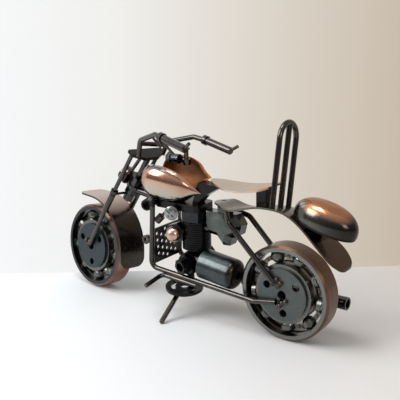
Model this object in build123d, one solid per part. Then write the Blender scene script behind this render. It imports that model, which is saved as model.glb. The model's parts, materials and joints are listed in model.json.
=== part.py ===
from build123d import *
import math
import os

os.makedirs("parts", exist_ok=True)

# Welded scrap-iron motorcycle ornament. Millimetres, +X forward, +Y to the rider's left, +Z up.
# The origin is on the ground, straight below the rear axle, on the centre plane.

# Wheels: each one is a 47 mm ball bearing whose outer ring rolls on the ground.
TREAD_R = 23.5
TREAD_W = 11.0
TREAD_CHAMFER = 1.1
OUTER_BORE_R = 20.6
INNER_LAND_R = 14.7
INNER_BORE_R = 12.0
BALL_R = 3.4
BALL_PITCH_R = (OUTER_BORE_R + INNER_LAND_R) / 2
BALL_COUNT = 9
RACE_GAP = 0.08
CAGE_GAP = 0.12
CAGE_SHEET = 0.55
CAGE_HALF_WIDTH = 1.1
DISC_R = 12.8
DISC_T = 1.3
DISC_BORE_R = 2.3
DISC_HOLE_R = 1.9
DISC_HOLE_PITCH_R = 9.0
DISC_TURN = 5
DISC_FACE_Y = TREAD_W / 2 + DISC_T

# Steering: raked axis, with the wheel centre a little ahead of it, stored turned to the right.
WHEELBASE = 124.1
RAKE = math.radians(33.3)
AXLE_LEAD = 2.8
STEER_REST = -10.2

# Stock sizes
ROD_R = 1.35
SHEET = 0.9
FIT_GAP = 0.03

# Frame
RAIL_Y = 10.0
RIGHT_RAIL_Y = 13.4
REAR_ROD_Y = DISC_FACE_Y + ROD_R
RAIL_FRONT = (76.7, 23.2)
DOWNTUBE_TOP = (74.4, 56.4)
HANGER_Z = (55.6, 59.2)
HANGER_X = (47.6, 75.6)
ENGINE_X = 54.0

# Fork, in its own frame: u forward of the axis, y to the left, t up along the axis
LEG_Y = 9.2
LEG_U = 2.9
SLEEVE_T = (27.0, 40.0)
CROWN_T = (68.0, 69.8)
HEAD_T = (43.5, 54.5)
STEM_R = 1.6
STEM_CLEARANCE = 0.06

# ------------------------------------------------------------------ steering frame

rake_up = Vector(-math.sin(RAKE), 0, math.cos(RAKE))
rake_forward = Vector(math.cos(RAKE), 0, math.sin(RAKE))
lean = abs(math.sin(math.radians(STEER_REST)) * math.sin(RAKE))
front_axle_z = TREAD_R * math.sqrt(1 - lean**2) + (TREAD_W / 2 - TREAD_CHAMFER) * lean
front_axle = Vector(WHEELBASE, 0, front_axle_z)
steer_foot = front_axle - rake_forward * AXLE_LEAD
steer_plane = Plane(origin=steer_foot, x_dir=rake_forward, z_dir=rake_up)
turn_fork = steer_plane.location * Rot(0, 0, STEER_REST) * steer_plane.location.inverse()


def fork_point(u, y, t):
    """Point of the straight-ahead fork from its own coordinates."""
    return steer_foot + rake_forward * u + Vector(0, y, 0) + rake_up * t


nodes = {}


def save(name, shape, turned=False):
    """Keep a finished node; pieces of the fork are turned to the stored steering angle."""
    nodes[name] = turn_fork * shape if turned else shape


def group(pieces):
    """Separate solids kept together in one node."""
    return Compound(children=[solid for piece in pieces for solid in piece.solids()])


def other_side(shape):
    """The same piece on the right-hand side."""
    return mirror(shape, about=Plane.XZ)


def both_sides(*shapes):
    """Left-hand pieces together with their right-hand twins."""
    return group([*shapes, *[other_side(shape) for shape in shapes]])


# ------------------------------------------------------------------ general shapes


def bar(points, radius, bend=None):
    """Round bar along straight runs joined by tangent bends."""
    path = Line(*points) if len(points) == 2 else FilletPolyline(*points, radius=bend)
    section = Plane(origin=path @ 0, z_dir=path % 0) * Circle(radius)
    return sweep(section, path=path)


def pin(start, direction, radius, length):
    """Round pin from a point along a direction."""
    return extrude(Plane(origin=start, z_dir=direction) * Circle(radius), length)


def hexagon(start, direction, flats, length, spin=0.0):
    """Hexagonal prism from a point along a direction, across-flats size given."""
    outline = Plane(origin=start, z_dir=direction) * Rot(0, 0, spin)
    return extrude(outline * RegularPolygon(flats / 2, 6, major_radius=False), length)


def bent_sheet(profile, thickness, half_width):
    """Sheet bent along a side profile of (x, z) points that run from front to rear."""
    top = Spline(*[(x, 0, z) for x, z in profile])
    count = 2 * len(profile)
    under = []
    for i in range(count + 1):
        along = top % (i / count)
        normal = Vector(0, 1, 0).cross(along).normalized()
        under.append((top @ (i / count)) - normal * thickness)
    side = make_face([top, Spline(*under), Line(top @ 0, under[0]), Line(top @ 1, under[-1])])
    return extrude(side, half_width, dir=(0, 1, 0), both=True)


def plan_outline(x_rear, x_front, half_width, corner):
    """Tall block with rounded plan corners, for trimming a bent sheet."""
    length = x_front - x_rear
    outline = RectangleRounded(length, 2 * half_width, corner)
    return Pos((x_rear + x_front) / 2, 0, 0) * extrude(outline, 200, both=True)


# ------------------------------------------------------------------ bearings


def grooved_ring(land, far, edge):
    """Bearing ring about Y with a raceway in its land; the far side has chamfered edges."""
    half = TREAD_W / 2
    groove = BALL_R + RACE_GAP
    lip = math.sqrt(groove**2 - (BALL_PITCH_R - land) ** 2)
    race = BALL_PITCH_R + math.copysign(groove, land - BALL_PITCH_R)
    inward = far - math.copysign(edge, far - land)
    raceway = ThreePointArc((land, -lip), (race, 0), (land, lip))
    rest = Polyline(
        (land, lip),
        (land, half),
        (inward, half),
        (far, half - edge),
        (far, edge - half),
        (inward, -half),
        (land, -half),
        (land, -lip),
    )
    return revolve(make_face([raceway, rest]), Axis.Y)


def ball_places():
    """Places of the balls round the wheel's Y axis, with local Z pointing outwards."""
    angles = [(i + 0.5) * 360 / BALL_COUNT for i in range(BALL_COUNT)]
    return [Rot(0, angle, 0) * Pos(0, 0, BALL_PITCH_R) for angle in angles]


def balls():
    """The ring of balls, one solid each."""
    tilted = Rot(37, 0, 23) * Sphere(BALL_R)
    return Compound(children=[place * tilted for place in ball_places()])


def cage():
    """Ribbon cage: a flat ring in the middle plane with a band round every ball."""
    width = 2 * CAGE_HALF_WIDTH
    pocket = Cylinder(BALL_R + CAGE_GAP, 2 * width)
    band = Cylinder(BALL_R + CAGE_GAP + CAGE_SHEET, width)
    ribbon = Rot(90, 0, 0) * Cylinder(BALL_PITCH_R + CAGE_HALF_WIDTH, 2 * CAGE_SHEET)
    ribbon = ribbon - Rot(90, 0, 0) * Cylinder(BALL_PITCH_R - CAGE_HALF_WIDTH, 2 * CAGE_SHEET)
    ribbon = ribbon + [place * band for place in ball_places()]
    return ribbon - [place * pocket for place in ball_places()]


def discs():
    """Two drilled steel discs, one welded on each face of the inner ring."""
    face = Circle(DISC_R) - Circle(DISC_BORE_R)
    for angle in (-90, 30, 150):
        turned = math.radians(angle + DISC_TURN)
        across = DISC_HOLE_PITCH_R * math.cos(turned)
        height = DISC_HOLE_PITCH_R * math.sin(turned)
        face = face - Pos(across, height) * Circle(DISC_HOLE_R)
    face_plane = Plane(origin=(0, TREAD_W / 2, 0), x_dir=(-1, 0, 0), z_dir=(0, 1, 0))
    return both_sides(extrude(face_plane * face, DISC_T))


def place_wheel(prefix, axle, turned):
    """All pieces of one wheel, at its axle."""
    at = Pos(*axle)
    save(prefix + "_tread_ring", at * grooved_ring(OUTER_BORE_R, TREAD_R, TREAD_CHAMFER), turned)
    save(prefix + "_inner_ring", at * grooved_ring(INNER_LAND_R, INNER_BORE_R, 0.3), turned)
    save(prefix + "_balls", at * balls(), turned)
    save(prefix + "_ball_cage", at * cage(), turned)
    save(prefix + "_discs", at * discs(), turned)


place_wheel("rear", (0, 0, TREAD_R), False)
place_wheel("front", tuple(front_axle), True)

# ------------------------------------------------------------------ frame rods


def lower_rail(side, front_y):
    """Rod from the rear disc along the underside and up to the tank's cross bar."""
    points = [
        (2.2, side * REAR_ROD_Y, 20.0),
        (14.8, side * REAR_ROD_Y, 17.7),
        (RAIL_FRONT[0], side * front_y, RAIL_FRONT[1]),
        (DOWNTUBE_TOP[0], side * front_y, DOWNTUBE_TOP[1]),
    ]
    return bar(points, ROD_R, bend=4.0)


left_rail = lower_rail(1, RAIL_Y)
right_rail = lower_rail(-1, RIGHT_RAIL_Y)
save("left_lower_rail", left_rail)
save("right_lower_rail", right_rail)


def downtube_x(z):
    """Where the leaning front tubes stand at a height."""
    lean = (DOWNTUBE_TOP[0] - RAIL_FRONT[0]) / (DOWNTUBE_TOP[1] - RAIL_FRONT[1])
    return RAIL_FRONT[0] + lean * (z - RAIL_FRONT[1])


# Engine hanger: flat bar under the tank, from the steering head to the rear fender
hanger_low, hanger_high = HANGER_Z
hanger_size = (HANGER_X[1] - HANGER_X[0], 15.0, hanger_high - hanger_low)
hanger = Pos(sum(HANGER_X) / 2, 0, sum(HANGER_Z) / 2) * Box(*hanger_size)
hanger = fillet(hanger.edges().filter_by(Axis.Z), 3.0)

# Cross bar that ties the tops of the two front tubes
tie_x, tie_z = DOWNTUBE_TOP[0], DOWNTUBE_TOP[1] + ROD_R
tie_points = [(tie_x, -RIGHT_RAIL_Y - ROD_R, tie_z), (tie_x, RAIL_Y + ROD_R, tie_z)]
hanger = hanger + bar(tie_points, ROD_R) - left_rail - right_rail

# Steering head with its bushing, and the gusset that carries it
head_low, head_high = HEAD_T
head_base = fork_point(0, 0, head_low)
head_length = head_high - head_low
head = hexagon(head_base, rake_up, 7.0, head_length)
head = head + pin(fork_point(0, 0, head_low + 3.5), rake_up, 4.1, 2.2)
head_bore = pin(head_base, rake_up, STEM_R + STEM_CLEARANCE, head_length)
neck_bar = bar([(76.0, 0, 57.4), fork_point(-1.5, 0, head_low + 3.0)], 2.0)
head = head + neck_bar - head_bore - hanger
save("steering_head", head)

# ------------------------------------------------------------------ rear fender, seat, backrest

# Stations of the fender: x, height of the middle, roll with the left side up, in degrees
FENDER_STATIONS = (
    (46.0, 61.1, 0.0),
    (37.0, 61.5, 1.5),
    (29.0, 60.4, 5.0),
    (22.0, 61.1, 8.5),
    (15.0, 62.9, 9.5),
    (6.0, 63.6, 10.0),
    (-1.0, 62.9, 9.5),
    (-8.0, 59.6, 8.5),
    (-13.0, 55.8, 6.5),
    (-20.0, 49.8, 1.0),
    (-30.0, 41.0, 0.0),
    (-34.0, 37.5, 0.0),
)
FENDER_HALF = 9.0


def fender_solid(low, high, half_width):
    """Solid between two heights above the twisted fender's upper face."""
    sections = []
    last = len(FENDER_STATIONS) - 1
    for i, (x, z, roll) in enumerate(FENDER_STATIONS):
        ahead_of = FENDER_STATIONS[max(i - 1, 0)]
        behind = FENDER_STATIONS[min(i + 1, last)]
        slope = math.atan2(ahead_of[1] - behind[1], ahead_of[0] - behind[0])
        turn = math.radians(roll)
        across = Vector(0, math.cos(turn), math.sin(turn))
        face_plane = Plane(origin=(x, 0, z), x_dir=across, z_dir=(1, 0, 0))
        height = (high - low) / math.cos(slope)
        middle = (high + low) / 2 / math.cos(slope)
        sections.append(face_plane * Pos(0, middle) * Rectangle(2 * half_width, height))
    return loft(sections)


nose_line = Spline(
    (26, FENDER_HALF),
    (34.3, 6.9),
    (39.4, 3.2),
    (43.4, -2.0),
    (42.8, -6.8),
    (37.0, -FENDER_HALF),
    tangents=[(1, 0), (-1, 0)],
)
tail_line = Spline(
    (-23.0, -FENDER_HALF),
    (-28.2, -6.6),
    (-29.8, 0),
    (-28.2, 6.6),
    (-23.0, FENDER_HALF),
    tangents=[(-1, 0), (1, 0)],
    tangent_scalars=[0.6, 0.6],
)
fender_sides = [Line(nose_line @ 1, tail_line @ 0), Line(tail_line @ 1, nose_line @ 0)]
fender_plan = extrude(make_face([nose_line, tail_line, *fender_sides]), 100)
rear_fender = fender_solid(-SHEET, 0, 12.0) & fender_plan
rear_fender = rear_fender - Pos(39.8, -4.2, 60) * Cylinder(1.4, 30)
save("rear_fender", rear_fender)
fender_below = fender_solid(-20.0, 0, 20.0)

left_stay = bar([(3.0, REAR_ROD_Y, 29.0), (29.2, 8.0, 54.4), (30.2, 8.0, 60.2)], ROD_R, bend=4.0)
far_stay_points = [
    (3.0, -REAR_ROD_Y, 29.0),
    (15.3, -8.1, 42.0),
    (27.2, -8.0, 54.2),
    (36.5, -7.6, 56.2),
]
far_stay = bar(far_stay_points, ROD_R, bend=4.0)
save("seat_stays", group([left_stay - rear_fender, far_stay - rear_fender]))

seat_profile = [(50.5, 71.4), (38.0, 70.7), (24.0, 70.9), (13.0, 72.8), (5.3, 75.2)]
seat_sheet = bent_sheet(seat_profile, SHEET, 9.6)
seat_left = [(47.6, -4.6), (42.6, 1.0), (37.9, 4.2), (30.5, 8.2), (20.0, 9.7), (10.0, 9.0), (6.7, 5.0)]
seat_right = [(47.6, -4.6), (44.6, -7.2), (36.0, -8.8), (20.0, -9.6), (10.0, -9.0), (6.7, -5.0)]
left_curve = Spline(*seat_left)
right_curve = Spline(*seat_right)
seat_plan = make_face([left_curve, right_curve, Line(left_curve @ 1, right_curve @ 1)])
seat = seat_sheet & extrude(seat_plan, 100)
save("seat_pan", seat)

seat_block = Pos(13.6, 0, 67.5) * Box(5.2, 6.4, 16.0)
seat_block = seat_block - fender_below
seat_above = bent_sheet([(x, z + 20.0 - SHEET) for x, z in seat_profile], 20.0, 20.0)
seat_block = seat_block - seat_above

wedge_points = [
    (38.8, 73.0),
    (39.0, 68.4),
    (47.2, 63.4),
    (51.0, hanger_high),
    (54.0, hanger_high),
    (50.5, 70.2),
    (46.5, 72.0),
]
wedge_side = Plane.XZ * Polygon(*wedge_points, align=None)
seat_bracket = extrude(wedge_side, 3.2, both=True) - seat_above - seat

HOOP_ROLL = math.radians(11.5)
hoop_plane = Plane(
    origin=(5.0, 0, 63.7),
    x_dir=(0, math.cos(HOOP_ROLL), math.sin(HOOP_ROLL)),
    z_dir=(1, 0, 0),
)
HOOP_HALF = 7.6
HOOP_STRAIGHT = 31.8
HOOP_SINK = 1.6
hoop_path = Line((-HOOP_HALF, -HOOP_SINK), (-HOOP_HALF, HOOP_STRAIGHT))
hoop_path += ThreePointArc(
    (-HOOP_HALF, HOOP_STRAIGHT), (0, HOOP_STRAIGHT + HOOP_HALF), (HOOP_HALF, HOOP_STRAIGHT)
)
hoop_path += Line((HOOP_HALF, HOOP_STRAIGHT), (HOOP_HALF, -HOOP_SINK))
hoop_path = hoop_plane * hoop_path
hoop_section = Plane(origin=hoop_path @ 0, z_dir=hoop_path % 0) * Circle(ROD_R)
hoop = sweep(hoop_section, path=hoop_path) - fender_below
centre_foot = hoop_plane.from_local_coords((0, -HOOP_SINK, 0))
centre_head = hoop_plane.from_local_coords((0, HOOP_STRAIGHT + HOOP_HALF, 0))
centre_rod = bar([centre_foot, centre_head], ROD_R) - fender_below - hoop
save("backrest", group([hoop, centre_rod]))

# Tail box: a pressed oval dome on a base plate, on a slope above the fender's tail
TAIL_SLOPE = 17.3
TAIL_CENTRE = (-17.9, 0, 59.6)
TAIL_LENGTH = 31.6
TAIL_WIDTH = 19.6
TAIL_HEIGHT = 9.9
tail_at = Pos(*TAIL_CENTRE) * Rot(0, -TAIL_SLOPE, 0)
TAIL_SQUARENESS = 2.5


def tail_dome_solid(inset):
    """Oval dome with a boxy, superelliptic section; an inset makes the space inside it."""
    length = TAIL_LENGTH / 2 - inset
    width = TAIL_WIDTH / 2 - inset
    height = TAIL_HEIGHT - inset
    power = 2 / TAIL_SQUARENESS
    section = []
    for i in range(7):
        angle = math.radians(15 * i)
        section.append((length * math.cos(angle) ** power, height * math.sin(angle) ** power))
    section[-1] = (0, height)
    curve = Spline(*section, tangents=[(0, 1), (-1, 0)])
    half = Plane.XZ * make_face([curve, Line((0, height), (0, 0)), Line((0, 0), (length, 0))])
    return scale(revolve(half, Axis.Z), by=(1, width / length, 1))


tail_dome = tail_dome_solid(0) - tail_dome_solid(SHEET)
save("tail_dome", tail_at * tail_dome)
tail_base = extrude(Ellipse(TAIL_LENGTH / 2 - 0.3, TAIL_WIDTH / 2 - 0.3), -1.2)
tail_post = Pos(2.0, 0, -6.5) * Box(8.0, 7.0, 11.0)
tail_base = tail_at * (tail_base + tail_post) - fender_below
save("tail_base", tail_base)

# ------------------------------------------------------------------ tank

TANK_LEFT = ((82.6, 69.5), 7.4)
TANK_RIGHT = ((81.0, 70.4), -2.8)
TANK_LENGTH = 34.8
TANK_R = 10.1
TANK_BULGE = 7.6
TANK_RIM_Y = 5.8
TANK_TOE = 4.0
TANK_TILT = 18.0


def tank_body(inset):
    """Teardrop body of revolution about X, nose at the origin, flattened sideways."""
    radius = TANK_R - inset
    nose = -inset
    tail = -TANK_LENGTH + 2.2 * inset
    curve = Spline(
        (nose, 0),
        (-11.5, radius),
        (-24.5, radius * 0.72),
        (tail, 0),
        tangents=[(0, 1), (-1, -0.55)],
    )
    half = make_face([curve, Line((tail, 0), (nose, 0))])
    body = revolve(half, Axis.X)
    return scale(body, by=(1, (TANK_BULGE - inset) / radius, 1))


def tank_half(body, side, nose, drop):
    """One side's half of a tank body, set down at its nose with its tail dropped by an angle."""
    keep = Pos(-TANK_LENGTH / 2, side * 25, 0) * Box(100, 50, 50)
    half = Rot(-side * TANK_TILT, 0, 0) * (body & keep)
    half = Rot(0, -drop, side * TANK_TOE) * half
    return Pos(nose[0], side * TANK_RIM_Y, nose[1]) * half


# Two pressed half teardrops, open towards the centre plane; the hanger is hollowed under the left one
tank_shell = tank_body(0) - tank_body(SHEET)
left_lobe = tank_half(tank_shell, 1, *TANK_LEFT)
right_lobe = tank_half(tank_shell, -1, *TANK_RIGHT)
save("tank_left_lobe", left_lobe)
save("tank_right_lobe", right_lobe)
hanger = hanger - tank_half(tank_body(0), 1, *TANK_LEFT)
save("engine_hanger", hanger)
seat_bracket = seat_bracket - left_lobe - right_lobe
save("seat_supports", group([seat_block, seat_bracket]))

# Filler post on the right lobe and the gauge that lies beside it
post_foot = Vector(63.2, -4.8, 76.6)
post = pin(post_foot, (0, 0, 1), 1.2, 8.6) + pin(post_foot, (0, 0, 1), 2.2, 3.0)
post = post + pin(post_foot + Vector(0, 0, 7.8), (0, 0, 1), 1.9, 1.0) - right_lobe
save("filler_post", post)
gauge_foot = Vector(73.0, -2.6, 79.6)
gauge = hexagon(gauge_foot, (-1, 0, 0), 5.6, 2.6) + pin(gauge_foot, (-1, 0, 0), 2.5, 7.2)
save("gauge", gauge - left_lobe - right_lobe)

# ------------------------------------------------------------------ engine

FIN_R = 7.4
FIN_CORE_R = 6.7
FIN_PITCH = 1.16
FIN_T = 0.62
FIN_COUNT = 13
CYLINDER_Z = (35.2, 50.4)
CRANK_X = 53.0
CRANK_Z = 29.2
up = (0, 0, 1)
left = (0, 1, 0)
ahead = (1, 0, 0)

cyl_low, cyl_high = CYLINDER_Z
engine = pin((ENGINE_X, 0, cyl_low), up, FIN_CORE_R, cyl_high - cyl_low)
for fin in range(FIN_COUNT):
    engine = engine + pin((ENGINE_X, 0, cyl_low + 0.1 + fin * FIN_PITCH), up, FIN_R, FIN_T)
save("engine_cylinder", engine)
head_nut = hexagon((ENGINE_X, 0, cyl_high), up, 15.2, hanger_low - cyl_high, spin=12)
save("cylinder_head_nut", head_nut)

# Fittings that point out of the left front of the engine
SCREW_Z = 54.6
SCREW_HEAD_R = 3.7
SCREW_ANGLE = math.radians(110)
DOME_Z = 43.6
DOME_R = 4.0
DOME_ANGLE = math.radians(98)
screw_way = Vector(math.cos(SCREW_ANGLE), math.sin(SCREW_ANGLE), 0)
screw_face = Vector(62.0, 9.6, SCREW_Z)
screw_head = pin(screw_face, screw_way, SCREW_HEAD_R, 3.0)
screw_head = screw_head & Pos(*(screw_face - screw_way * 4.9)) * Sphere(7.2)
screw = pin(screw_face - screw_way * 6.0, screw_way, 2.0, 7.0) + screw_head
recess_plane = Plane(origin=screw_face + screw_way * 1.4, z_dir=screw_way, x_dir=up)
for spin in (45, 135):
    screw = screw - recess_plane * Rot(0, 0, spin) * extrude(Rectangle(4.6, 1.1), 3.0)
save("head_screw", screw - head_nut - hanger)

dome_way = Vector(math.cos(DOME_ANGLE), math.sin(DOME_ANGLE), 0)
dome_foot = Vector(61.4, 8.6, DOME_Z)
dome_seat = hexagon(dome_foot - dome_way * 4.4, dome_way, 9.4, 4.4, spin=20)
dome_seat = dome_seat + bar([dome_foot - dome_way * 2.6, (ENGINE_X, 0, DOME_Z)], 3.2) - engine
save("dome_nut_seat", dome_seat)
dome_nut = pin(dome_foot, dome_way, DOME_R, 1.4) + Pos(*(dome_foot + dome_way * 1.4)) * Sphere(DOME_R)
dome_nut = dome_nut - pin(dome_foot - dome_way * 6.0, dome_way, 6.0, 6.0)
save("copper_dome_nut", dome_nut)

spark_root = Vector(65.6, 6.0, 56.4)
spark_way = (Vector(72.8, 8.8, 48.4) - spark_root).normalized()
spark = pin(spark_root, spark_way, 0.8, 9.0) + pin(spark_root + spark_way * 7.2, spark_way, 2.0, 4.0)
save("spark_bolt", spark - hanger - left_rail)

# Crankcase and the stack of washers and nuts on the crank axis
WASHERS = ((3.0, 3.4, 6.8), (3.9, 6.0, 1.3), (5.9, 5.8, 1.3), (7.9, 5.2, 1.5))
crank_axis = Vector(CRANK_X, 0, CRANK_Z)
crank_way = Vector(0.22, 1, -0.13).normalized()
crankcase = pin(crank_axis - crank_way * 7.0, crank_way, 6.2, 10.0) - engine
washers = Part()
for offset, radius, width in WASHERS:
    washers = washers + pin(crank_axis + crank_way * offset, crank_way, radius, width)
washers = washers - engine - left_rail
crank_nut = hexagon(crank_axis + crank_way * 9.4, crank_way, 7.0, 3.6, spin=10)
crank_nut = crank_nut - pin(crank_axis + crank_way * 10.0, crank_way, 2.3, 4.0)
save("crank_stack", group([washers, crank_nut]))

# Horizontal can behind the crankcase, with a bored, rounded rear end
CAN_R = 7.7
CAN_LENGTH = 21.0
can_foot = Vector(26.2, 3.7, 26.5)
can_way = Vector(1, 0, 0.12).normalized()
can = pin(can_foot, can_way, CAN_R, CAN_LENGTH)
can = fillet(can.edges().filter_by(GeomType.CIRCLE).sort_by(Axis.X)[0], 3.0)
can = chamfer(can.edges().filter_by(GeomType.CIRCLE).sort_by(Axis.X)[-1], 0.6)
can = can - pin(can_foot, can_way, 2.0, 6.0)
save("motor_can", can)
coupling = pin(can_foot + can_way * CAN_LENGTH, can_way, 4.0, 7.0) - washers - engine
save("crankcase", crankcase + coupling - can)

# Air cleaner: a thick faceted cover with three lobes, bevelled round its edge
cleaner_points = [
    (46.0, 56.6),
    (46.6, 50.6),
    (44.2, 45.4),
    (39.0, 44.8),
    (35.6, 40.6),
    (31.6, 40.8),
    (30.2, 45.0),
    (26.2, 46.8),
    (24.8, 52.0),
    (28.0, 57.0),
]
CLEANER_HALF = 5.6
CLEANER_BEVEL = 2.8
cleaner = extrude(Plane.XZ * Polygon(*cleaner_points, align=None), CLEANER_HALF, both=True)
cleaner_rims = cleaner.edges().group_by(Axis.Y)
cleaner = chamfer(cleaner_rims[0] + cleaner_rims[-1], CLEANER_BEVEL)
intake = pin((45.0, 0, 47.0), ahead, 2.6, 5.0)
strap = Pos(36.0, 0, 58.0) * Box(6.0, 5.0, 6.4)
cleaner = cleaner + intake + strap - fender_solid(-SHEET, 20.0, 20.0) - engine - far_stay - head_nut
save("air_cleaner", cleaner)

# Radiator: perforated plate between the front tubes
RADIATOR_Z = (24.2, 43.6)
RADIATOR_T = 0.9
HOLE_R = 1.05
HOLE_PITCH = 3.9
HOLE_TURN = math.radians(20.0)
HOLE_EDGE = 1.5
radiator_half = (RAIL_Y + RIGHT_RAIL_Y) / 2 - ROD_R
radiator_middle_y = (RAIL_Y - RIGHT_RAIL_Y) / 2
radiator_mid = (RADIATOR_Z[0] + RADIATOR_Z[1]) / 2
radiator_height = RADIATOR_Z[1] - RADIATOR_Z[0]
radiator_face = Rectangle(2 * radiator_half, radiator_height)
for row in range(-6, 7):
    for column in range(-6, 7):
        along = (column + (row % 2) / 2) * HOLE_PITCH
        across = row * HOLE_PITCH * math.sqrt(3) / 2
        y = along * math.cos(HOLE_TURN) - across * math.sin(HOLE_TURN)
        z = along * math.sin(HOLE_TURN) + across * math.cos(HOLE_TURN)
        if abs(y) < radiator_half - HOLE_EDGE and abs(z) < radiator_height / 2 - HOLE_EDGE:
            radiator_face = radiator_face - Pos(y, z) * Circle(HOLE_R)
tube_lean = downtube_x(0) - downtube_x(1)
radiator_foot = (downtube_x(radiator_mid), radiator_middle_y, radiator_mid)
radiator_plane = Plane(origin=radiator_foot, x_dir=left, z_dir=(1, 0, tube_lean))
save("radiator_plate", radiator_plane * extrude(radiator_face, RADIATOR_T / 2, both=True))

# Horn cup and small ring nut beside the left front tube
horn_way = Vector(-0.34, 0.94, 0).normalized()
horn_foot = Vector(82.1, 2.6, 55.6)
horn = pin(horn_foot, horn_way, 3.1, 6.0) - hanger - left_rail
horn = horn - pin(horn_foot + horn_way, horn_way, 2.45, 6.0)
save("horn_cup", horn)
RING_NUT_R = 2.4
ring_centre = Vector(downtube_x(37.6) + ROD_R + RING_NUT_R - 0.1, RAIL_Y - 1.0, 37.6)
ring_nut = pin(ring_centre, left, RING_NUT_R, 2.0) - pin(ring_centre, left, 1.1, 2.0)
save("ring_nut", ring_nut - left_rail)

# ------------------------------------------------------------------ underside

PEG_R = 1.2
peg_points = [(70.7, 22.0, 17.5), (69.2, 10.4, 20.3), (48.0, 9.3, 18.3)]
left_peg = bar(peg_points, PEG_R, bend=3.0) - left_rail
save("foot_pegs", both_sides(left_peg))

RING_PLATE_R = 9.8
RING_PLATE_T = 1.5
ring_plane = Plane(origin=(57.9, 6.4, 15.4), z_dir=Vector(-0.06, 0.07, 1).normalized())
ring_face = Circle(RING_PLATE_R) - Circle(2.4)
for angle in (20, 140, 260):
    ring_face = ring_face - SlotArc(CenterArc((0, 0), 5.9, angle, 74), 2.2)
ring_plate = ring_plane * extrude(ring_face, -RING_PLATE_T)
plate_post = pin((56.8, 2.2, 14.6), up, 1.9, 10.0) - crankcase - washers
ring_plate = ring_plate + plate_post - left_peg
save("ring_plate", ring_plate)

STAND_R = 1.3
stand_points = [(59.2, 7.2, 14.0), (59.7, 23.3, STAND_R)]
stand = bar(stand_points, STAND_R) + Pos(*stand_points[-1]) * Sphere(STAND_R)
save("side_stand", stand - ring_plate)

# Exhaust on the right-hand side
MUFFLER_R = 3.2
MUFFLER_AXIS = (-14.6, 17.2)
MUFFLER_X = (-23.6, 36.0)
muffler_foot = (MUFFLER_X[0], *MUFFLER_AXIS)
muffler = pin(muffler_foot, ahead, MUFFLER_R, MUFFLER_X[1] - MUFFLER_X[0])
muffler = chamfer(muffler.edges().filter_by(GeomType.CIRCLE).sort_by(Axis.X)[-1], 1.2)
muffler = muffler - pin(muffler_foot, ahead, 2.3, 12.0)
header_points = [
    (MUFFLER_X[1], *MUFFLER_AXIS),
    (60.0, -17.0, MUFFLER_AXIS[1]),
    (61.0, -17.0, 44.0),
    (ENGINE_X, -4.0, 47.0),
]
header = bar(header_points, 1.7, bend=6.0) - engine - other_side(left_peg)
save("exhaust", group([muffler, header]))

# ------------------------------------------------------------------ fork

stem_low = HEAD_T[0] - 5.0
stem = pin(fork_point(0, 0, stem_low), rake_up, STEM_R, CROWN_T[0] - stem_low)
stem = stem + pin(fork_point(0, 0, stem_low), rake_up, 3.0, 4.2)
save("steering_stem", stem, True)

crown_low, crown_high = CROWN_T
crown_corners = [(4.8, 11.0), (1.0, 11.0), (-2.6, 4.6), (-2.6, -4.6), (1.0, -11.0), (4.8, -11.0)]
crown_plane = Plane(origin=fork_point(0, 0, crown_low), x_dir=rake_forward, z_dir=rake_up)
crown = crown_plane * extrude(Polygon(*crown_corners, align=None), crown_high - crown_low)
save("crown_plate", crown, True)

LEG_R = 1.15
BRACE_R = 0.7
SLEEVE_R = 1.7
COLLAR_R = 2.0
COLLAR_H = 2.2
brace_at = HEAD_T[0] - 0.5 - COLLAR_H / 2
brace = bar([fork_point(1.2, -LEG_Y, brace_at), fork_point(1.2, LEG_Y, brace_at)], BRACE_R)
leg_foot = fork_point(LEG_U, DISC_FACE_Y + LEG_R + 0.1, 1.2)
leg_knee = fork_point(LEG_U, LEG_Y, SLEEVE_T[0])
leg_top = fork_point(LEG_U, LEG_Y, crown_low)
left_leg = bar([leg_foot, leg_knee, leg_top], LEG_R, bend=20.0)
legs = both_sides(left_leg)
sleeve = pin(leg_knee + rake_up, rake_up, SLEEVE_R, SLEEVE_T[1] - SLEEVE_T[0] - 1.0)
sleeves = both_sides(sleeve - left_leg)
collar = pin(fork_point(LEG_U, LEG_Y, brace_at - COLLAR_H / 2), rake_up, COLLAR_R, COLLAR_H)
brace = brace + collar + other_side(collar) - left_leg - other_side(left_leg) - stem
save("fork_legs", legs, True)
save("fork_sleeves", sleeves, True)
save("fork_brace", brace, True)

LAMP_R = 4.5
LAMP_LENGTH = 5.2
lamp_back = fork_point(4.9, 0, 48.4)
lamp = pin(lamp_back, rake_forward, LAMP_R, LAMP_LENGTH)
lamp = fillet(lamp.edges().filter_by(GeomType.CIRCLE).sort_by(Axis.X)[0], 1.8)
lamp = lamp - pin(lamp_back + rake_forward * (LAMP_LENGTH - 1.0), rake_forward, LAMP_R - 0.9, 2.0)
lamp = lamp + bar([fork_point(6.6, 0, 51.6), fork_point(4.0, 0, crown_low)], 1.0) - crown
save("headlight_shell", lamp, True)

# Handlebars: one bent bar and grip each side, tied by a cross bar
BAR_R = 1.35
GRIP_R = 1.95
CONTROLS = {
    "bar": [(80.3, 9.5, 88.0), (64.9, 13.3, 92.2), (57.0, 15.1, 91.0)],
    "grip_end": [(40.7, 15.7, 87.6)],
    "tip": [(37.4, 16.8, 90.5)],
}
BAR_ROLL = 0.085


def control_points(name, side):
    """Points of a side's bar work; the whole bar is rolled, its left end up."""
    return [Vector(x, side * y, z + side * BAR_ROLL * y) for x, y, z in CONTROLS[name]]


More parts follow.
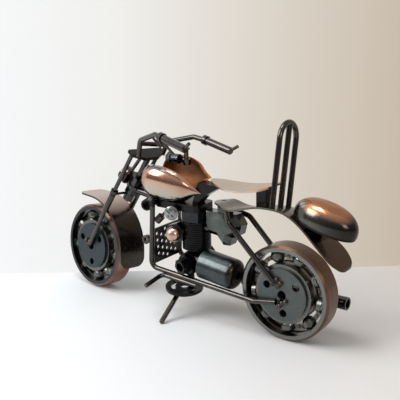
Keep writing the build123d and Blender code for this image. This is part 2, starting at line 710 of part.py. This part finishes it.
bar_spaces = Part()
handlebars = {}
grips = []
collars = []
bar_tips = []
for side in (1, -1):
    crown_hole = fork_point(-0.6, side * 8.2, crown_high - 0.2)
    bar_points = [crown_hole, *control_points("bar", side)]
    grip_end = control_points("grip_end", side)[0]
    handlebars[side] = bar(bar_points, BAR_R, bend=3.4) - crown
    bar_space = bar(bar_points, BAR_R + FIT_GAP, bend=3.4)
    bar_spaces = bar_spaces + bar_space
    grip_foot = bar_points[-1]
    grip_way = (grip_end - grip_foot).normalized()
    grip = pin(grip_foot, grip_way, GRIP_R, (grip_end - grip_foot).length)
    grips.append(chamfer(grip.edges().filter_by(GeomType.CIRCLE), 0.4) - handlebars[side])
    bar_way = (bar_points[-1] - bar_points[-2]).normalized()
    bar_end = pin(grip_foot - bar_way * 6.0, bar_way, BAR_R + FIT_GAP, 8.0)
    collars.append(pin(grip_foot - grip_way * 2.2, grip_way, 2.5, 2.2) - bar_end)
    bar_tips.append(bar([grip_end - grip_way, control_points("tip", side)[0]], 0.85) - grips[-1])
save("left_handlebar", handlebars[1], True)
save("right_handlebar", handlebars[-1], True)
save("handlebar_grips", group(grips), True)
save("grip_collars", group(collars), True)
front_lever = bar([(68.4, 12.2, 91.8), (66.6, 7.6, 86.6)], 0.65) - bar_spaces
rear_lever = bar([(62.4, 13.4, 92.2), (62.8, 9.8, 89.4), (60.2, 5.0, 83.8)], 0.65, bend=3.0)
save("levers", group([*bar_tips, front_lever, rear_lever - bar_spaces]), True)
cross_bar = bar([(81.0, -9.2, 85.4), (81.0, 9.2, 87.0)], BAR_R - 0.1)
save("handlebar_cross_bar", cross_bar - bar_spaces, True)

# Front fender: flat at the front, then round the wheel and straight down behind it
FENDER_R = 28.8
FRONT_FENDER_HALF = 8.3
fender_mid_z = front_axle.Z + 0.6
front_profile = [(134.2, fender_mid_z + FENDER_R + 0.5)]
for angle in range(90, 181, 15):
    turn_angle = math.radians(angle)
    x = WHEELBASE + FENDER_R * math.cos(turn_angle)
    front_profile.append((x, fender_mid_z + FENDER_R * math.sin(turn_angle)))
front_profile.append((WHEELBASE - FENDER_R - 0.1, 16.4))
front_fender = bent_sheet(front_profile, SHEET, FRONT_FENDER_HALF)
tail_trim = Plane.YZ * Pos(0, 56.4) * RectangleRounded(2 * FRONT_FENDER_HALF, 80.0, 5.0)
front_fender = front_fender & extrude(tail_trim, 300, both=True)
front_fender = front_fender & plan_outline(80.0, 134.1, FRONT_FENDER_HALF, 3.5)
sleeve_space = pin(leg_knee, rake_up, SLEEVE_R + FIT_GAP, SLEEVE_T[1] - SLEEVE_T[0])
leg_space = bar([leg_foot, leg_knee, leg_top], LEG_R + FIT_GAP, bend=20.0)
for space in (sleeve_space, leg_space):
    front_fender = front_fender - space - other_side(space)
save("front_fender", front_fender, True)

# ------------------------------------------------------------------ weld beads

BEAD_R = 1.15
rear_axle = Vector(0, 0, TREAD_R)
RAIL_BEADS = ((1.0, -2.0), (-0.6, -3.5), (0.6, -5.1), (-2.3, -2.6))
STAY_BEADS = ((1.6, 4.4), (0.4, 6.0), (2.4, 7.6), (4.8, 5.0))
FORK_BEADS = ((0.4, 2.6), (2.2, 0.4), (3.6, 2.8))


def disc_welds(axle, beads):
    """Beads on both discs at (x, z) places from the axle; they lap over the rod ends there."""
    block = Pos(axle.X, 0, axle.Z) * Box(60, 2 * DISC_FACE_Y, 60)
    height = DISC_FACE_Y + 0.7
    left_beads = [Pos(axle.X + x, height, axle.Z + z) * Sphere(BEAD_R) - block for x, z in beads]
    return both_sides(*left_beads)


save("frame_weld_beads", disc_welds(rear_axle, RAIL_BEADS + STAY_BEADS))
save("fork_weld_beads", disc_welds(front_axle, FORK_BEADS), True)

# ------------------------------------------------------------------ export

for name, shape in nodes.items():
    export_step(shape, "parts/" + name + ".step")
wheel_axle = turn_fork * Pos(*front_axle)
print("nodes", len(nodes))
print("steering axis", tuple(rake_up), "through", tuple(steer_foot))
print("front axle", tuple(wheel_axle.position), "along", tuple(Plane(wheel_axle).y_dir))
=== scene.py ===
import bpy
import bmesh
import json
import math
from mathutils import Matrix, Vector


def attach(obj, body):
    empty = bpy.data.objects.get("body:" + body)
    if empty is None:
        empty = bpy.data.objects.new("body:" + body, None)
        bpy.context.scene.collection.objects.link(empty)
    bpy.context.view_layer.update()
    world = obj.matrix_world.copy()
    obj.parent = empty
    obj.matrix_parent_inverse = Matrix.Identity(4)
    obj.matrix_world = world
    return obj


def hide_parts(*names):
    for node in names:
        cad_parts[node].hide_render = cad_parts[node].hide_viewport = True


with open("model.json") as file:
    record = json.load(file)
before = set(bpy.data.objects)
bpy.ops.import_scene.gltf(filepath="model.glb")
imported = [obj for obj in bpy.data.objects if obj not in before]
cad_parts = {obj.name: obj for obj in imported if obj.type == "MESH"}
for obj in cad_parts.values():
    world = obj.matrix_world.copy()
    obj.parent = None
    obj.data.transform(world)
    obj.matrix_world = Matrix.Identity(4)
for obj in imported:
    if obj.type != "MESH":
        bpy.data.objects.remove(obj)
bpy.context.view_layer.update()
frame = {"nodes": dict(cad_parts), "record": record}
MM = 0.001

# ------------------------------------------------------------------ camera

CAMERA_AT = Vector((-0.154036, 0.272519, 0.152717))
AZIMUTH = math.radians(37.02)
ELEVATION = math.radians(15.11)
ROLL = math.radians(-1.25)
SENSOR_MM = 36.0
LENS_MM = 63.36

back = Vector(
    (
        -math.sin(AZIMUTH) * math.cos(ELEVATION),
        math.cos(AZIMUTH) * math.cos(ELEVATION),
        math.sin(ELEVATION),
    )
)
level_right = (-back).cross(Vector((0, 0, 1))).normalized()
level_up = level_right.cross(-back)
right = level_right * math.cos(ROLL) + level_up * math.sin(ROLL)
up = level_up * math.cos(ROLL) - level_right * math.sin(ROLL)
place = Matrix((right, up, back)).transposed().to_4x4()
place.translation = CAMERA_AT
camera = bpy.data.objects.new("camera", bpy.data.cameras.new("camera"))
camera.matrix_world = place
camera.data.sensor_width = SENSOR_MM
camera.data.lens = LENS_MM
camera.data.clip_start = 0.01
camera.data.clip_end = 20
bpy.context.collection.objects.link(camera)
bpy.context.scene.camera = camera

# ------------------------------------------------------------------ stage and light


# Stage frame: across to the image's right, away from the camera, both level.
across = Vector((right.x, right.y, 0)).normalized()
away = Vector((0, 0, 1)).cross(across)
STAGE_LEFT = -0.20
STAGE_RIGHT = 0.10
STAGE_HALF = 1.6
FLOOR_BACK = 0.092
WALL_TOP = 2.2
WALL_GLOW = 1.0
STAGE_CENTRE = Vector((0.06, 0, 0.05))

# Tones of the floor and the backdrop, from the image's left to its right: painted shade that darkens and
# warms them towards the right
FLOOR_PAINTED_SHADE_TONES = ((0.0, (0.66, 0.69, 0.71)), (0.5, (0.60, 0.61, 0.625)), (1.0, (0.50, 0.48, 0.46)))
WALL_PAINTED_LIGHT_TONES = (
    (0.0, (0.86, 0.89, 0.92)),
    (0.38, (0.79, 0.785, 0.76)),
    (0.62, (0.66, 0.61, 0.54)),
    (1.0, (0.47, 0.38, 0.28)),
)
# Tones of the room, from level to high
ROOM_TONES = ((0.0, (0.24, 0.23, 0.22)), (0.22, (0.34, 0.34, 0.35)), (0.75, (0.86, 0.88, 0.92)))
ROOM_LIGHT = 0.8
# Softboxes: place from the stage's centre, size, watts and colour
SOFTBOXES = {
    "window": ((0.55, 0.75, 0.75), (0.5, 0.7), 11, (1.0, 0.99, 0.97)),
    "overhead": ((0.12, 0.02, 0.75), (0.45, 0.3), 5.0, (1.0, 0.99, 0.98)),
    "fill": ((-0.9, 0.35, 0.4), (0.3, 0.3), 2.0, (1.0, 0.93, 0.84)),
}


def new_material(name):
    """Material with a Principled shader alone, with its node tree and that shader."""
    material = bpy.data.materials.new(name)
    material.use_nodes = True
    nodes = material.node_tree.nodes
    nodes.clear()
    shader = nodes.new("ShaderNodeBsdfPrincipled")
    out = nodes.new("ShaderNodeOutputMaterial")
    material.node_tree.links.new(shader.outputs[0], out.inputs[0])
    return material, material.node_tree, shader


def set_stops(ramp, tones):
    """Fills a colour ramp from (position, colour) stops."""
    for i, (at, color) in enumerate(tones):
        stop = ramp.color_ramp.elements[i] if i < 2 else ramp.color_ramp.elements.new(at)
        stop.position = at
        stop.color = (*color, 1)


def show_one_face(tree, shader):
    """Clears a sheet's rear face, so that the object is seen from behind the backdrop too."""
    geometry = tree.nodes.new("ShaderNodeNewGeometry")
    clear = tree.nodes.new("ShaderNodeBsdfTransparent")
    choose = tree.nodes.new("ShaderNodeMixShader")
    tree.links.new(geometry.outputs["Backfacing"], choose.inputs[0])
    tree.links.new(shader.outputs[0], choose.inputs[1])
    tree.links.new(clear.outputs[0], choose.inputs[2])
    tree.links.new(choose.outputs[0], tree.get_output_node("ALL").inputs[0])


def stage_material(name, tones, roughness, glow=0.0):
    """Pale stage surface with painted shade that darkens and warms it from left to right; with a glow it is
    lit from within, on one face.
    """
    material, tree, shader = new_material(name)
    where = tree.nodes.new("ShaderNodeTexCoord")
    dot = tree.nodes.new("ShaderNodeVectorMath")
    dot.operation = "DOT_PRODUCT"
    tree.links.new(where.outputs["Object"], dot.inputs[0])
    dot.inputs[1].default_value = tuple(across)
    span = tree.nodes.new("ShaderNodeMapRange")
    tree.links.new(dot.outputs["Value"], span.inputs["Value"])
    span.inputs["From Min"].default_value = STAGE_LEFT
    span.inputs["From Max"].default_value = STAGE_RIGHT
    ramp = tree.nodes.new("ShaderNodeValToRGB")
    tree.links.new(span.outputs["Result"], ramp.inputs[0])
    set_stops(ramp, tones)
    shader.inputs["Roughness"].default_value = roughness
    if glow:
        shader.inputs["Base Color"].default_value = (0.05, 0.05, 0.05, 1)
        tree.links.new(ramp.outputs[0], shader.inputs["Emission Color"])
        shader.inputs["Emission Strength"].default_value = glow
        show_one_face(tree, shader)
    else:
        tree.links.new(ramp.outputs[0], shader.inputs["Base Color"])
    return material


def stage_sheet(name, profile, material):
    """Sheet extruded along the image's horizontal from (away, up) points."""
    mesh = bpy.data.meshes.new(name)
    sheet = bmesh.new()
    rows = []
    for distance, height in profile:
        middle = away * distance + Vector((0, 0, height))
        ends = [middle - across * STAGE_HALF, middle + across * STAGE_HALF]
        rows.append([sheet.verts.new(p) for p in ends])
    for near, far in zip(rows, rows[1:]):
        sheet.faces.new((near[0], near[1], far[1], far[0]))
    sheet.to_mesh(mesh)
    sheet.free()
    for face in mesh.polygons:
        face.use_smooth = True
    obj = bpy.data.objects.new(name, mesh)
    obj.data.materials.append(material)
    bpy.context.collection.objects.link(obj)


def soft_light(name, offset, size, power, color):
    """Rectangular softbox that faces the stage's centre."""
    lamp = bpy.data.lights.new(name, "AREA")
    lamp.shape = "RECTANGLE"
    lamp.size, lamp.size_y = size
    lamp.energy = power
    lamp.color = color
    obj = bpy.data.objects.new(name, lamp)
    obj.location = STAGE_CENTRE + Vector(offset)
    obj.rotation_euler = (-Vector(offset)).to_track_quat("-Z", "Y").to_euler()
    bpy.context.collection.objects.link(obj)


floor_profile = [(-STAGE_HALF, 0.0), (STAGE_HALF, 0.0)]
wall_profile = [(FLOOR_BACK, 0.0), (FLOOR_BACK + 0.002, 0.004), (FLOOR_BACK + 0.004, WALL_TOP)]
stage_sheet("floor", floor_profile, stage_material("floor_painted_shade", FLOOR_PAINTED_SHADE_TONES, 0.6))
stage_sheet("backdrop", wall_profile, stage_material("wall_painted_light", WALL_PAINTED_LIGHT_TONES, 0.9, WALL_GLOW))
for name, softbox in SOFTBOXES.items():
    soft_light(name, *softbox)

world = bpy.data.worlds.new("room")
bpy.context.scene.world = world
world.use_nodes = True
sky = world.node_tree
sky_way = sky.nodes.new("ShaderNodeTexCoord")
sky_split = sky.nodes.new("ShaderNodeSeparateXYZ")
sky_ramp = sky.nodes.new("ShaderNodeValToRGB")
sky.links.new(sky_way.outputs["Generated"], sky_split.inputs[0])
sky.links.new(sky_split.outputs[2], sky_ramp.inputs[0])
set_stops(sky_ramp, ROOM_TONES)
sky.links.new(sky_ramp.outputs[0], sky.nodes["Background"].inputs[0])
sky.nodes["Background"].inputs[1].default_value = ROOM_LIGHT
bpy.context.scene.view_settings.view_transform = "Standard"
bpy.context.scene.cycles.use_denoising = True

# ------------------------------------------------------------------ metal finishes


def joint(name):
    """One of the design's joints."""
    return next(j for j in frame["record"]["behaviour"]["joints"] if j["name"] == name)


def node(tree, kind, **values):
    """Adds a node and sets its properties."""
    made = tree.nodes.new(kind)
    for key, value in values.items():
        setattr(made, key, value)
    return made


def noise(tree, vector, scale, detail):
    """Noise value over object space, in features per metre."""
    made = node(tree, "ShaderNodeTexNoise")
    made.inputs["Scale"].default_value = scale
    made.inputs["Detail"].default_value = detail
    made.inputs["Roughness"].default_value = 0.55
    tree.links.new(vector, made.inputs["Vector"])
    return made.outputs["Fac"]


def remap(tree, value, low, high, to_low, to_high):
    """Clamped linear change of range."""
    made = node(tree, "ShaderNodeMapRange")
    tree.links.new(value, made.inputs["Value"])
    for key, number in zip(("From Min", "From Max", "To Min", "To Max"), (low, high, to_low, to_high)):
        made.inputs[key].default_value = number
    return made.outputs["Result"]


def mix(tree, factor, first, second):
    """Colour mix, by a factor socket, of two colours or sockets."""
    made = node(tree, "ShaderNodeMix", data_type="RGBA")
    tree.links.new(factor, made.inputs[0])
    for socket, color in ((made.inputs[6], first), (made.inputs[7], second)):
        if isinstance(color, tuple):
            socket.default_value = (*color, 1)
        else:
            tree.links.new(color, socket)
    return made.outputs[2]


def dot_with(tree, output, direction):
    """Dot product of a texture coordinate output with a fixed direction."""
    coordinate = node(tree, "ShaderNodeTexCoord").outputs[output]
    dot = node(tree, "ShaderNodeVectorMath", operation="DOT_PRODUCT")
    tree.links.new(coordinate, dot.inputs[0])
    dot.inputs[1].default_value = direction
    return dot.outputs["Value"]


# Zones of a finish, some of which are painted light or shade: each one gives 0 to 1 between two limits.


def facing(tree, direction, low, high):
    """The surface turns towards a direction."""
    return remap(tree, dot_with(tree, "Normal", direction), low, high, 0.0, 1.0)


def either_face(tree, direction, low, high):
    """The surface turns towards either end of an axis."""
    size = node(tree, "ShaderNodeMath", operation="ABSOLUTE")
    tree.links.new(dot_with(tree, "Normal", direction), size.inputs[0])
    return remap(tree, size.outputs[0], low, high, 0.0, 1.0)


def along(tree, direction, low, high):
    """The place lies between two distances, in metres, along a direction."""
    return remap(tree, dot_with(tree, "Object", direction), low, high, 0.0, 1.0)


def hollow(tree, centre, low, high):
    """The surface turns inwards, to a wheel's centre."""
    where = node(tree, "ShaderNodeTexCoord")
    spoke = node(tree, "ShaderNodeVectorMath", operation="SUBTRACT")
    tree.links.new(where.outputs["Object"], spoke.inputs[0])
    spoke.inputs[1].default_value = centre
    unit = node(tree, "ShaderNodeVectorMath", operation="NORMALIZE")
    tree.links.new(spoke.outputs[0], unit.inputs[0])
    dot = node(tree, "ShaderNodeVectorMath", operation="DOT_PRODUCT")
    tree.links.new(where.outputs["Normal"], dot.inputs[0])
    tree.links.new(unit.outputs[0], dot.inputs[1])
    return remap(tree, dot.outputs["Value"], -low, -high, 0.0, 1.0)


# Features per metre of the patina's clouds, the uneven gloss, the dents and the fine specks
CLOUD_SCALE = 110.0
DENT_SCALE = 260.0
GLOSS_SCALE = 700.0
SPECK_SCALE = 2600.0
SPECK_DARKNESS = 0.4
DENT_DEPTH = 0.6 * MM

finishes = {}


def lacquered(name, tone, patina, rough, coat, dent=0.03, zones=()):
    """Adds a clear-lacquered metal: cloudy patina, tinted zones (on some parts painted highlights,
    reflections and shade), specks, uneven gloss and dents.
    """
    material, tree, shader = new_material(name)
    where = node(tree, "ShaderNodeTexCoord").outputs["Object"]
    cloud = remap(tree, noise(tree, where, CLOUD_SCALE, 5.0), 0.38, 0.66, 0.0, 1.0)
    color = mix(tree, cloud, tone, patina)
    for kind, place_or_way, low, high, tint in zones:
        color = mix(tree, kind(tree, place_or_way, low, high), color, tint)
    speck = remap(tree, noise(tree, where, SPECK_SCALE, 2.0), 0.68, 0.78, 0.0, 0.5)
    color = mix(tree, speck, color, tuple(c * SPECK_DARKNESS for c in tone))
    tree.links.new(color, shader.inputs["Base Color"])
    gloss = remap(tree, noise(tree, where, GLOSS_SCALE, 3.0), 0.3, 0.7, *rough)
    tree.links.new(gloss, shader.inputs["Roughness"])
    shader.inputs["Metallic"].default_value = 1.0
    shader.inputs["Coat Weight"].default_value = coat
    shader.inputs["Coat Roughness"].default_value = 0.06
    bump = node(tree, "ShaderNodeBump")
    bump.inputs["Strength"].default_value = dent
    bump.inputs["Distance"].default_value = DENT_DEPTH
    tree.links.new(noise(tree, where, DENT_SCALE, 3.0), bump.inputs["Height"])
    tree.links.new(bump.outputs[0], shader.inputs["Normal"])
    finishes[name] = material


UP = (0.0, 0.0, 1.0)
DOWN = (0.0, 0.0, -1.0)
LEFT = (0.0, 1.0, 0.0)
RIGHT = (0.0, -1.0, 0.0)
REARWARD = (-1.0, 0.0, 0.0)
FRONT_AXLE = tuple(joint("front_wheel_spin")["axis"])
FRONT_CENTRE = tuple(joint("front_wheel_spin")["pos_m"])
REAR_CENTRE = tuple(joint("rear_wheel_spin")["pos_m"])

# Rods, castings and small hardware
lacquered("dark_rod", (0.030, 0.027, 0.025), (0.055, 0.043, 0.034), (0.16, 0.26), 0.6, dent=0.12)
lacquered("black_iron", (0.008, 0.008, 0.009), (0.014, 0.013, 0.013), (0.26, 0.42), 0.2)
lacquered("front_disc", (0.040, 0.052, 0.058), (0.05, 0.062, 0.066), (0.42, 0.56), 0.1)
lacquered("blue_steel", (0.020, 0.022, 0.024), (0.034, 0.035, 0.036), (0.24, 0.4), 0.25)
lacquered("disc_grey", (0.085, 0.098, 0.098), (0.11, 0.12, 0.115), (0.42, 0.56), 0.1)
lacquered("ring_steel", (0.11, 0.11, 0.10), (0.15, 0.145, 0.13), (0.26, 0.4), 0.3)
lacquered("bright_steel", (0.30, 0.31, 0.30), (0.22, 0.225, 0.22), (0.2, 0.34), 0.2)
lacquered("copper_nut", (0.62, 0.42, 0.34), (0.50, 0.31, 0.24), (0.18, 0.28), 0.4)
lacquered("weld", (0.030, 0.024, 0.021), (0.075, 0.05, 0.036), (0.16, 0.34), 0.6, dent=0.6)
lacquered("cleaner_steel", (0.020, 0.024, 0.022), (0.065, 0.072, 0.062), (0.12, 0.2), 0.7)
lacquered("gauge_steel", (0.05, 0.052, 0.052), (0.075, 0.076, 0.074), (0.2, 0.3), 0.5)
can_cap = [(along, REARWARD, -0.0305, -0.028, (0.022, 0.018, 0.015))]
lacquered("can_steel", (0.060, 0.074, 0.076), (0.030, 0.038, 0.040), (0.28, 0.4), 0.3, zones=can_cap)

# Tyres: copper treads with grey sides, and painted shade that darkens their bores
rear_sides_and_bore_shade = [
    (either_face, LEFT, 0.86, 0.95, (0.155, 0.16, 0.145)),
    # painted shade: the bore, which faces the wheel's centre, is darkened
    (hollow, REAR_CENTRE, 0.2, 0.5, (0.030, 0.029, 0.028)),
]
front_sides_and_bore_shade = [
    (either_face, FRONT_AXLE, 0.55, 0.8, (0.028, 0.030, 0.031)),
    # painted shade: the bore, which faces the wheel's centre, is darkened
    (hollow, FRONT_CENTRE, 0.2, 0.5, (0.020, 0.021, 0.022)),
]
lacquered("tread_copper", (0.13, 0.066, 0.045), (0.085, 0.048, 0.035), (0.26, 0.4), 0.3, zones=rear_sides_and_bore_shade)
lacquered("front_tread", (0.42, 0.19, 0.125), (0.24, 0.115, 0.08), (0.26, 0.4), 0.3, zones=front_sides_and_bore_shade)

# Tank: copper flank on the near lobe, with a silver belly that is a painted floor reflection, a dark band
# that is a painted reflection, a silver shoulder that is a painted highlight, and a dark rim and inner side
# that are painted shade; dull copper on the far one, darker as painted shade
tank_painted_light = [
    # painted floor reflection, painted dark reflection band, painted highlight, painted shade at the rim,
    # painted shade towards the far lobe
    (facing, (0.0, 0.55, -0.83), 0.42, 0.8, (0.42, 0.37, 0.31)),
    (facing, (-0.1, 0.62, 0.78), 0.93, 0.985, (0.16, 0.13, 0.11)),
    (facing, (0.2, 0.3, 0.93), 0.9, 0.975, (0.52, 0.50, 0.48)),
    (facing, (0.1, -0.25, 0.96), 0.88, 0.97, (0.035, 0.03, 0.028)),
    (facing, RIGHT, 0.25, 0.6, (0.02, 0.018, 0.016)),
]
lacquered("copper_sheet", (0.50, 0.25, 0.155), (0.42, 0.22, 0.14), (0.14, 0.22), 0.6, zones=tank_painted_light)
# the far lobe's copper is a darker copy of the near lobe's, as painted shade
lacquered("copper_far", (0.34, 0.14, 0.062), (0.28, 0.115, 0.055), (0.5, 0.6), 0.15)

# Seat, fenders and tail box: their tones change along the bike; the front fender and the tail box also carry
# painted highlights, and the tail box painted shade at its rear
seat_zones = [(along, REARWARD, -0.022, -0.006, (0.50, 0.29, 0.17))]
lacquered("pale_copper", (0.56, 0.46, 0.37), (0.48, 0.39, 0.31), (0.34, 0.46), 0.3, zones=seat_zones)
rear_fender_zones = [(along, REARWARD, -0.012, 0.012, (0.055, 0.032, 0.020))]
lacquered(
    "bronze_sheet", (0.105, 0.098, 0.078), (0.085, 0.078, 0.06), (0.24, 0.36), 0.3, zones=rear_fender_zones
)
front_fender_tone_and_highlight = [
    (along, DOWN, -0.027, -0.022, (0.075, 0.068, 0.055)),
    # painted highlight: a pinkish sheen on the faces that turn up
    (facing, UP, 0.7, 0.95, (0.46, 0.34, 0.30)),
]
lacquered(
    "fender_brown", (0.024, 0.018, 0.014), (0.034, 0.026, 0.020), (0.24, 0.36), 0.3, zones=front_fender_tone_and_highlight
)
dome_painted_light = [
    # painted shade darkens the rear; a painted copper highlight streaks the top; a painted whitish highlight
    # sits on the upper front-left
    (along, REARWARD, 0.014, 0.030, (0.014, 0.011, 0.010)),
    (facing, (-0.1, 0.30, 0.95), 0.66, 0.9, (0.42, 0.19, 0.10)),
    (facing, (0.45, 0.55, 0.70), 0.94, 0.99, (0.50, 0.46, 0.42)),
]
lacquered("dome_bronze", (0.060, 0.056, 0.050), (0.085, 0.072, 0.058), (0.18, 0.28), 0.5, zones=dome_painted_light)

# Nodes whose finish isn't the one of their own material slot
NODE_FINISH = {
    "front_tread_ring": "front_tread",
    "tank_right_lobe": "copper_far",
    "front_fender": "fender_brown",
    "tail_dome": "dome_bronze",
    "gauge": "gauge_steel",
    "motor_can": "can_steel",
    "air_cleaner": "cleaner_steel",
    "radiator_plate": "black_iron",
    "engine_hanger": "black_iron",
    "seat_supports": "black_iron",
    "crown_plate": "black_iron",
    "engine_cylinder": "black_iron",
    "crank_stack": "black_iron",
    "crankcase": "black_iron",
    "ring_plate": "black_iron",
    "tail_base": "black_iron",
    "front_discs": "front_disc",
}
# A loaded mesh is split between its CAD faces, so the bevel rounds only the sharp edges within a face
EDGE_WEAR = 0.16 * MM
EDGE_ANGLE = math.radians(38)
node_slot = {s["node"]: s["material_slot"] for s in frame["record"]["subparts"]}
for name, obj in frame["nodes"].items():
    obj.data.materials.clear()
    obj.data.materials.append(finishes[NODE_FINISH.get(name, node_slot[name])])
    soften = obj.modifiers.new("worn_edges", "BEVEL")
    soften.width = EDGE_WEAR
    soften.segments = 2
    soften.limit_method = "ANGLE"
    soften.angle_limit = EDGE_ANGLE
    soften.harden_normals = True

# ------------------------------------------------------------------ ribbon cages

# The CAD cage is a flat ring with bands. The real one is two pressed ribbons, riveted between the balls.
BALL_COUNT = 9
BALL_PITCH = 17.65 * MM
STEER_REST = math.radians(-10.2)
RIBBON_HALF = 1.1 * MM
RIBBON_SHEET = 0.42 * MM
RIBBON_GAP = 0.04 * MM
POCKET_R = 3.60 * MM
STEPS_PER_BALL = 28
RIVET_SIDES = 14
# Rivet profile: radius and height, from one domed end to the other
RIVET_PROFILE = ((0.02, -1.05), (0.55, -0.95), (0.85, -0.62), (0.85, 0.62), (0.55, 0.95), (0.02, 1.05))
CORNER_ANGLE = math.radians(35)


def new_piece(name, points, faces, finish):
    """Mesh object with smooth shading up to a corner angle."""
    mesh = bpy.data.meshes.new(name)
    mesh.from_pydata([tuple(p) for p in points], [], faces)
    work = bmesh.new()
    work.from_mesh(mesh)
    bmesh.ops.recalc_face_normals(work, faces=work.faces)
    for face in work.faces:
        face.smooth = True
    for edge in work.edges:
        if len(edge.link_faces) == 2 and edge.calc_face_angle() > CORNER_ANGLE:
            edge.smooth = False
    work.to_mesh(mesh)
    work.free()
    obj = bpy.data.objects.new(name, mesh)
    obj.data.materials.append(finishes[finish])
    bpy.context.collection.objects.link(obj)
    return obj


def bridge(base, row, count, size, closed):
    """Quads between a row of points and the next one; each row is a loop of a given size."""
    start = base + size * row
    following = base + size * ((row + 1) % count if closed else row + 1)
    return [
        (start + k, start + (k + 1) % size, following + (k + 1) % size, following + k) for k in range(size)
    ]


def ribbon_height(turn):
    """Height of a ribbon's inner face off the wheel's middle plane, a turn away from a ball."""
    run = BALL_PITCH * turn
    arch = math.sqrt(max(POCKET_R**2 - run**2, 0.0))
    return max(arch, RIBBON_GAP)


def spoke_way(axes, angle):
    """Direction from the wheel's centre at an angle from its top."""
    forward, _, top = axes
    return forward * math.sin(angle) + top * math.cos(angle)


def add_ribbon(points, faces, centre, axes, side):
    """One wavy ribbon, on one side of the wheel's middle plane."""
    axle = axes[1]
    base = len(points)
    steps = BALL_COUNT * STEPS_PER_BALL
    low, high = BALL_PITCH - RIBBON_HALF, BALL_PITCH + RIBBON_HALF
    for i in range(steps):
        angle = 2 * math.pi * i / steps
        from_ball = (angle * BALL_COUNT / (2 * math.pi) - 0.5) % 1.0
        inner = ribbon_height(min(from_ball, 1 - from_ball) * 2 * math.pi / BALL_COUNT)
        outer = inner + RIBBON_SHEET
        way = spoke_way(axes, angle)
        for radius, height in ((low, inner), (high, inner), (high, outer), (low, outer)):
            points.append(centre + way * radius + axle * side * height)
    for i in range(steps):
        faces.extend(bridge(base, i, steps, 4, closed=True))


def add_rivet(points, faces, centre, axes, angle):
    """Domed rivet through both ribbons."""
    axle = axes[1]
    way = spoke_way(axes, angle)
    along_ring = axle.cross(way)
    middle = centre + way * BALL_PITCH
    base = len(points)
    for reach, height in RIVET_PROFILE:
        for k in range(RIVET_SIDES):
            turn = 2 * math.pi * k / RIVET_SIDES
            spoke = way * math.cos(turn) + along_ring * math.sin(turn)
            points.append(middle + spoke * reach * MM + axle * height * MM)
    rows = len(RIVET_PROFILE)
    for row in range(rows - 1):
        faces.extend(bridge(base, row, rows, RIVET_SIDES, closed=False))
    for row in (0, rows - 1):
        faces.append(tuple(base + row * RIVET_SIDES + k for k in range(RIVET_SIDES)))


def cage_piece(prefix, rest_turn):
    """Riveted ribbon cage of one wheel, which turns with its balls."""
    turned = Matrix.Rotation(rest_turn, 3, Vector(joint("steering")["axis"]))
    axes = [turned @ Vector(v) for v in ((1, 0, 0), (0, 1, 0), (0, 0, 1))]
    centre = Vector(joint(prefix + "_wheel_spin")["pos_m"])
    points = []
    faces = []
    for side in (1, -1):
        add_ribbon(points, faces, centre, axes, side)
    for i in range(BALL_COUNT):
        add_rivet(points, faces, centre, axes, 2 * math.pi * i / BALL_COUNT)
    piece = new_piece(prefix + "_ribbon_cage", points, faces, "ring_steel")
    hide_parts(prefix + "_ball_cage")
    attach(piece, prefix + "_cage")


cage_piece("rear", 0.0)
cage_piece("front", STEER_REST)
